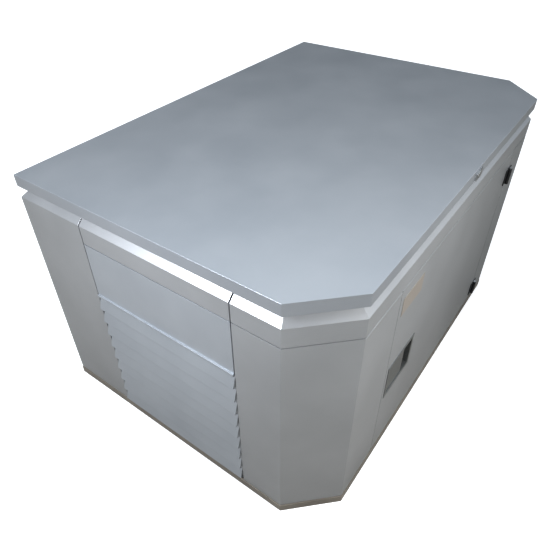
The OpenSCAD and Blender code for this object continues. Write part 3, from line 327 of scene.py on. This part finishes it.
SHEET_EDGES = {
    1.6: ["lid_shell"],
    1.1: ["rear_corner_panels", "end_headers", "front_left_panel", "front_rim", "front_right_panel",
          "back_panel", "door_skin", "base_tray"],
    0.5: ["end_louvres", "latch_dish", "latch_paddle", "lid_lock_case", "data_plate",
          "door_hinge_frame_leaves", "door_hinge_door_leaves", "lid_hinge_frame_leaves",
          "lid_hinge_lid_leaves", "enclosure_frame", "door_surround", "control_box"],
}
for width, names in SHEET_EDGES.items():
    for name in names:
        roll_edges(name, width)
print("rolled:", sum(len(names) for names in SHEET_EDGES.values()), "parts")

# %% [markdown]
# ## Acoustic foam
# The lid, the door and the back are lined with convoluted foam, cut so that its face rises and falls
# like an egg box, 36 mm from crest to crest. Each lining starts as a fine grid that follows the outline
# of the engineering solid. The face takes its height from the egg-box wave and sinks in a soft round
# along the cut edges, and the flat back is glued to the sheet. Holes leave room for the fittings.


# %% Acoustic foam
CREST = 36 * MM
GRID = 6 * MM
ROUND = 14 * MM
TROUGH, RISE = 0.70, 0.26
UNEVEN, UNEVEN_SCALE = 0.03, 18
EDGE_SINK = 0.45
ON_CUT = 0.05 * MM
SLANTING = 0.1


def solid_points(node):
    """The corners of an engineering solid at rest."""
    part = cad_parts[node]
    return [part.matrix_world @ corner.co for corner in part.data.vertices]


def outline_planes(points):
    """The upright and slanting lines that bound a set of points, as (direction, reach)."""
    turns = [Vector((math.cos(math.radians(a)), math.sin(math.radians(a)))) for a in range(0, 360, 45)]
    return [(turn, max(turn.dot(p) for p in points)) for turn in turns]


def foam_height(u, v, planes, holes, thick):
    """How far the foam's face stands off its back at one place."""
    wave = 0.5 + 0.5 * math.sin(2 * math.pi * u / CREST) * math.sin(2 * math.pi * v / CREST)
    edge = min([reach - turn.dot(Vector((u, v))) for turn, reach in planes]
               + [math.hypot(u - hole[0], v - hole[1]) - hole[2] for hole in holes])
    sunk = 1 - min(max(edge, 0.0) / ROUND, 1.0)
    uneven = UNEVEN * noise.noise(Vector((u, v, 0.0)) * UNEVEN_SCALE)
    return thick * (TROUGH + RISE * wave + uneven) * (1 - EDGE_SINK * sunk * sunk)


print("foam:", round(CREST / MM), "mm from crest to crest")

# %% [markdown]
# ## Cutting one lining
# The grid is trimmed along the slanting sides of its outline, and its holes are opened and rounded. Then
# the rim is pulled down to the glue line and closed with one flat back, so the lining is a solid sheet.


# %% Cutting one lining
def foam_lining(node, body, across, up, out, holes=()):
    """A convoluted foam sheet on the back of its solid. across, up and out are directions."""
    points = solid_points(node)
    flat = [Vector((p.dot(across), p.dot(up))) for p in points]
    planes = outline_planes(flat)
    back = min(p.dot(out) for p in points)
    thick = max(p.dot(out) for p in points) - back
    low = Vector((min(p.x for p in flat), min(p.y for p in flat)))
    high = Vector((max(p.x for p in flat), max(p.y for p in flat)))
    steps = [math.ceil((high[i] - low[i]) / GRID) for i in (0, 1)]
    mesh = bmesh.new()
    rows = [[mesh.verts.new((low.x + (high.x - low.x) * i / steps[0],
                             low.y + (high.y - low.y) * j / steps[1], 0))
             for i in range(steps[0] + 1)] for j in range(steps[1] + 1)]
    for j in range(steps[1]):
        for i in range(steps[0]):
            mesh.faces.new((rows[j][i], rows[j][i + 1], rows[j + 1][i + 1], rows[j + 1][i]))
    for turn, reach in planes:
        if abs(turn.x * turn.y) > SLANTING:
            everything = mesh.verts[:] + mesh.edges[:] + mesh.faces[:]
            bmesh.ops.bisect_plane(mesh, geom=everything, plane_co=(turn * reach).to_3d(),
                                   plane_no=turn.to_3d(), dist=ON_CUT, clear_outer=True)
    for u, v, radius in holes:
        middle = Vector((u, v, 0))
        gone = [f for f in mesh.faces if (f.calc_center_median() - middle).length < radius]
        bmesh.ops.delete(mesh, geom=gone, context="FACES")
        for point in mesh.verts:
            if point.is_boundary and (point.co - middle).length < radius + 2 * GRID:
                point.co = middle + (point.co - middle).normalized() * radius
    rim = [e for e in mesh.edges if e.is_boundary]
    walls = bmesh.ops.extrude_edge_only(mesh, edges=rim)["geom"]
    glued = {part for part in walls if isinstance(part, bmesh.types.BMVert)}
    back_rim = [part for part in walls if isinstance(part, bmesh.types.BMEdge)
                and part.verts[0] in glued and part.verts[1] in glued]
    bmesh.ops.triangle_fill(mesh, edges=back_rim, use_beauty=False)
    for point in mesh.verts:
        u, v = point.co.x, point.co.y
        height = 0.0 if point in glued else foam_height(u, v, planes, holes, thick)
        point.co = across * u + up * v + out * (back + height)
    bmesh.ops.recalc_face_normals(mesh, faces=mesh.faces[:])
    shape = bpy.data.meshes.new(node + "_lining")
    mesh.to_mesh(shape)
    mesh.free()
    lining = bpy.data.objects.new(node + "_lining", shape)
    scene.collection.objects.link(lining)
    for face in shape.polygons:
        face.use_smooth = True
    shape.materials.append(foam_pores)
    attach(lining, body)
    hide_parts(node)
    return lining


ALONG, BACKWARD, UPRIGHT = Vector((1, 0, 0)), Vector((0, 1, 0)), Vector((0, 0, 1))
gas_hole = (-400 * MM, 300 * MM, 27 * MM)
conduit_hole = (-460 * MM, 120 * MM, 23.3 * MM)
fitting_holes = [gas_hole, conduit_hole]
linings = [
    foam_lining("lid_foam", "lid", ALONG, BACKWARD, -UPRIGHT),
    foam_lining("door_foam", "door", ALONG, UPRIGHT, BACKWARD),
    foam_lining("back_foam", "enclosure", ALONG, UPRIGHT, -BACKWARD, fitting_holes),
]
for lining in linings:
    print(lining.name, "points:", len(lining.data.vertices))

# %% [markdown]
# ## Rubber seals
# Three EPDM strips keep the weather out. A hollow bulb runs along the top of the frame, where the closed
# lid flattens it a little. A flat strip with soft edges lies around the door opening, and a thin one
# lies between the base and the panels. Each is a cross-section swept along its path with mitred corners.


# %% Rubber seals
lid_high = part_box("lid_shell")[1]
surround_low, surround_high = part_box("door_surround")
half_x, half_y = lid_high.x, lid_high.y
corner_reach = max(-p.x - p.y for p in solid_points("lid_shell"))
corner_leg = half_x + half_y - corner_reach


def shell_outline(inset):
    """The enclosure's six corners, drawn in by an inset."""
    x, y = half_x - inset, half_y - inset
    leg = corner_leg - inset * (2 - math.sqrt(2))
    return [Vector(c) for c in ((x - leg, -y), (x, leg - y), (x, y), (-x, y), (-x, leg - y), (leg - x, -y))]


def sweep(name, path, section, normal, closed):
    """A strip with the given cross-section, as (across, along the normal), along a flat path."""
    mesh = bmesh.new()
    rings = []
    count = len(path)
    for i, place in enumerate(path):
        before = path[i - 1] if closed or i else None
        after = path[(i + 1) % count] if closed or i < count - 1 else None
        first = (place - before).normalized() if before is not None else (after - place).normalized()
        second = (after - place).normalized() if after is not None else first
        sides_now = [normal.cross(first), normal.cross(second)]
        mitre = (sides_now[0] + sides_now[1]).normalized()
        mitre = mitre / mitre.dot(sides_now[0])
        rings.append([mesh.verts.new(place + mitre * a + normal * n) for a, n in section])
    ways = len(section)
    for i in range(count if closed else count - 1):
        here, there = rings[i], rings[(i + 1) % count]
        for k in range(ways):
            mesh.faces.new((here[k], here[(k + 1) % ways], there[(k + 1) % ways], there[k]))
    if not closed:
        mesh.faces.new(rings[0])
        mesh.faces.new(rings[-1])
    bmesh.ops.recalc_face_normals(mesh, faces=mesh.faces[:])
    shape = bpy.data.meshes.new(name)
    mesh.to_mesh(shape)
    mesh.free()
    strip = bpy.data.objects.new(name, shape)
    scene.collection.objects.link(strip)
    for face in shape.polygons:
        face.use_smooth = len(face.vertices) == 4
    shape.materials.append(seal_rubber)
    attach(strip, "enclosure")
    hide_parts("weather_seals")
    return strip


SECTION_POINTS = 20


def rounded(width, thick, power):
    """A cross-section from 0 to thick, rounder for a low power and squarer for a high one."""
    section = []
    for k in range(SECTION_POINTS):
        angle = 2 * math.pi * (k + 0.5) / SECTION_POINTS
        c, s = math.cos(angle), math.sin(angle)
        section.append((0.5 * width * math.copysign(abs(c) ** (2 / power), c),
                        0.5 * thick * (1 + math.copysign(abs(s) ** (2 / power), s))))
    return section


print("corner leg:", round(corner_leg / MM, 1), "mm")

# %% [markdown]
# ## The bulb under the lid
# The bulb stands on the frame's upstand, 12 mm below the lid's top, and stops on each side of the lock's
# keeper.

# %% The bulb under the lid
LID_TO_UPSTAND = 12 * MM
BULB_INSET = 32.6 * MM
BULB_WIDE, BULB_TALL, BULB_POWER = 7.8 * MM, 9.6 * MM, 2.6
upstand_top = lid_high.z - LID_TO_UPSTAND
gap_right, gap_left = 48 * MM, 8 * MM
bulb_path = [Vector((p.x, p.y, upstand_top)) for p in shell_outline(BULB_INSET)]
front_y = bulb_path[0].y
bulb_path = ([Vector((gap_right, front_y, upstand_top))] + bulb_path
             + [Vector((gap_left, front_y, upstand_top))])
lid_bulb = sweep("lid_bulb_seal", bulb_path, rounded(BULB_WIDE, BULB_TALL, BULB_POWER), UPRIGHT, False)
print(lid_bulb.name, "path points:", len(bulb_path))

# %% [markdown]
# ## The door strip and the base gasket
# The strip lies on the door surround and is open where the latch bolt passes. The gasket lies on the
# tray's top edge, all the way round.

# %% The door strip and the base gasket
FREE_IN, HINGE_IN, FOOT_UP, HEAD_DOWN = 6 * MM, 8 * MM, 12 * MM, 19 * MM
STRIP_WIDE, STRIP_THICK, STRIP_POWER = 11.8 * MM, 2.2 * MM, 3.0
GASKET_INSET = 7 * MM
GASKET_WIDE, GASKET_THICK, GASKET_POWER = 9.8 * MM, 2 * MM, 5.0
strip_y = surround_low.y
x_free, x_hinge = surround_low.x + FREE_IN, surround_high.x - HINGE_IN
z_foot, z_head = surround_low.z + FOOT_UP, surround_high.z - HEAD_DOWN
strike_top, strike_foot = 303 * MM, 273 * MM
door_path = [Vector((x, strip_y, z)) for x, z in (
    (x_free, strike_top), (x_free, z_head), (x_hinge, z_head), (x_hinge, z_foot), (x_free, z_foot),
    (x_free, strike_foot))]
door_strip = sweep("door_strip_seal", door_path, rounded(STRIP_WIDE, STRIP_THICK, STRIP_POWER),
                   -BACKWARD, False)

tray_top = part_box("base_tray")[1].z
gasket_path = [Vector((p.x, p.y, tray_top)) for p in shell_outline(GASKET_INSET)]
base_strip = sweep("base_gasket", gasket_path, rounded(GASKET_WIDE, GASKET_THICK, GASKET_POWER),
                   UPRIGHT, True)
print("seals:", lid_bulb.name, door_strip.name, base_strip.name)

# %% [markdown]
# ## The room
# Semi-gloss paint is mostly a mirror of the room, so the room matters more than the paint. Here it is a
# studio with a slightly blue sky over dim walls. The sky is brightest in a ring 45 degrees above the
# horizon and fades out between 40 and 20 degrees, so a lid seen from above goes from bright near the eye
# to dark at its far edge. A darker patch hangs behind the viewer, and one wall glows low down on the door
# side. Each band is given by the sine of its angle above the horizon, its colour and its strength.

# %% The room
MIX_FIRST_COLOUR, MIX_RESULT = 6, 2
scene.view_settings.view_transform = "Standard"
world = bpy.data.worlds.new("studio")
scene.world = world
world.use_nodes = True
sky = world.node_tree
outward = add_node(sky, "ShaderNodeTexCoord")
split = add_node(sky, "ShaderNodeSeparateXYZ", None, {"Vector": (outward, "Generated")})
SKY_BANDS = (
    (0.0, "3c3c3c", 0.45), (0.35, "3c3c3c", 0.45), (0.45, "716d69", 0.82), (0.54, "c2ccd6", 0.84),
    (0.62, "dce6f0", 1.1), (0.71, "eef6fc", 2.9), (0.80, "e8f2fa", 0.95),
)
band = add_node(sky, "ShaderNodeValToRGB", None, {"Fac": (split, "Z")})
while len(band.color_ramp.elements) < len(SKY_BANDS):
    band.color_ramp.elements.new(1.0)
for stop, (height, tone, level) in zip(band.color_ramp.elements, SKY_BANDS):
    stop.position = height
    stop.color = tuple(level * c for c in linear(tone)[:3]) + (1.0,)


def patch(towards, inner, outer, before, tone, level):
    """Blends a soft round patch of one tone over the sky, between two angles from its middle."""
    near = add_node(sky, "ShaderNodeVectorMath",
                    {"operation": "DOT_PRODUCT", 1: Vector(towards).normalized()},
                    {0: (outward, "Generated")})
    inside = add_node(sky, "ShaderNodeMapRange", {
        "interpolation_type": "SMOOTHSTEP",
        "From Min": math.cos(math.radians(outer)),
        "From Max": math.cos(math.radians(inner)),
    }, {"Value": (near, "Value")})
    blend = add_node(sky, "ShaderNodeMix", {"data_type": "RGBA"})
    blend.inputs["B"].default_value = tuple(level * c for c in linear(tone)[:3]) + (1.0,)
    sky.links.new(inside.outputs["Result"], blend.inputs["Factor"])
    sky.links.new(before, blend.inputs[MIX_FIRST_COLOUR])
    return blend.outputs[MIX_RESULT]


light_so_far = band.outputs["Color"]
light_so_far = patch((-0.35, -0.64, 0.69), 10, 34, light_so_far, "4a4a4e", 1.0)
light_so_far = patch((0.80, -0.56, 0.20), 8, 30, light_so_far, "dfe8f2", 1.0)
sky.links.new(light_so_far, sky.nodes["Background"].inputs["Color"])
print("sky ready")

# %% [markdown]
# ## The floor
# The floor is one plain white sheet. It is made as two discs: the one that shows stays evenly white, and
# the one just below it only sends light back up, as a real matt floor does, darker close to the
# enclosure where the enclosure keeps the light off it.

# %% The floor
FLOOR_R = 14.0
FLOOR_SIDES = 96
GRAIN_SCALE = 40.0
GRAIN_LIGHTER = 1.04
FLOOR_GLOW = 0.55
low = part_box("base_tray")[0]


def floor_disc(name, drop_mm, tone):
    """A round matt floor just under the object."""
    bpy.ops.mesh.primitive_circle_add(vertices=FLOOR_SIDES, radius=FLOOR_R, fill_type="NGON",
                                      location=(0.0, 0.0, low.z - drop_mm * MM))
    disc = bpy.context.object
    disc.name = name
    material, tree, shader = new_material(name, Roughness=0.9)
    grain = add_node(tree, "ShaderNodeTexNoise", {"Scale": GRAIN_SCALE})
    ramp = add_node(tree, "ShaderNodeValToRGB", None, {"Fac": (grain, "Fac")})
    ramp.color_ramp.elements[0].color = linear(tone)
    ramp.color_ramp.elements[1].color = tuple(min(1.0, GRAIN_LIGHTER * c) for c in linear(tone))
    tree.links.new(ramp.outputs["Color"], shader.inputs["Base Color"])
    disc.data.materials.append(material)
    return disc, shader


white_floor, shader = floor_disc("white_floor", 0.2, "f4f4f4")
shader.inputs["Emission Color"].default_value = (1.0, 1.0, 1.0, 1.0)
shader.inputs["Emission Strength"].default_value = FLOOR_GLOW
white_floor.visible_diffuse = False
white_floor.visible_glossy = False
white_floor.visible_shadow = False
bounce_floor, shader = floor_disc("bounce_floor", 0.6, "9c9790")
bounce_floor.visible_camera = False
print("floor discs:", white_floor.name, bounce_floor.name)

# %% [markdown]
# ## The lamps
# The sky alone leaves the upright sheets flat. A softbox high beyond the intake end lights the blades and
# the end panels. A small one fills the band under the lid, and a faint one fills the door side. The two
# fills keep to a narrow cone, so that they hardly touch anything else.


# %% The lamps
def soft_light(name, at, towards, size, power, tint="ffffff"):
    """A flat softbox that shines from one place towards another."""
    data = bpy.data.lights.new(name, "AREA")
    data.shape = "RECTANGLE"
    data.size, data.size_y = size
    data.energy = power
    data.color = linear(tint)[:3]
    light = bpy.data.objects.new(name, data)
    light.location = at
    light.rotation_euler = (Vector(towards) - Vector(at)).to_track_quat("-Z", "Y").to_euler()
    scene.collection.objects.link(light)
    return light


soft_light("intake_flash", (-2.31, 0.865, 2.08), (-0.6, -0.26, 0.65), (0.5, 0.5), 52.0, "f4f8ff")
rim_fill = soft_light("rim_fill", (-1.75, -0.40, 1.10), (-0.61, 0.0, 0.70), (0.3, 0.2), 1.1, "f0f5ff")
rim_fill.data.spread = math.radians(45)
door_fill = soft_light("door_fill", (-0.30, -1.55, 1.15), (-0.30, -0.43, 0.62), (0.6, 0.4), 4.3)
door_fill.data.spread = math.radians(75)
print("studio ready")
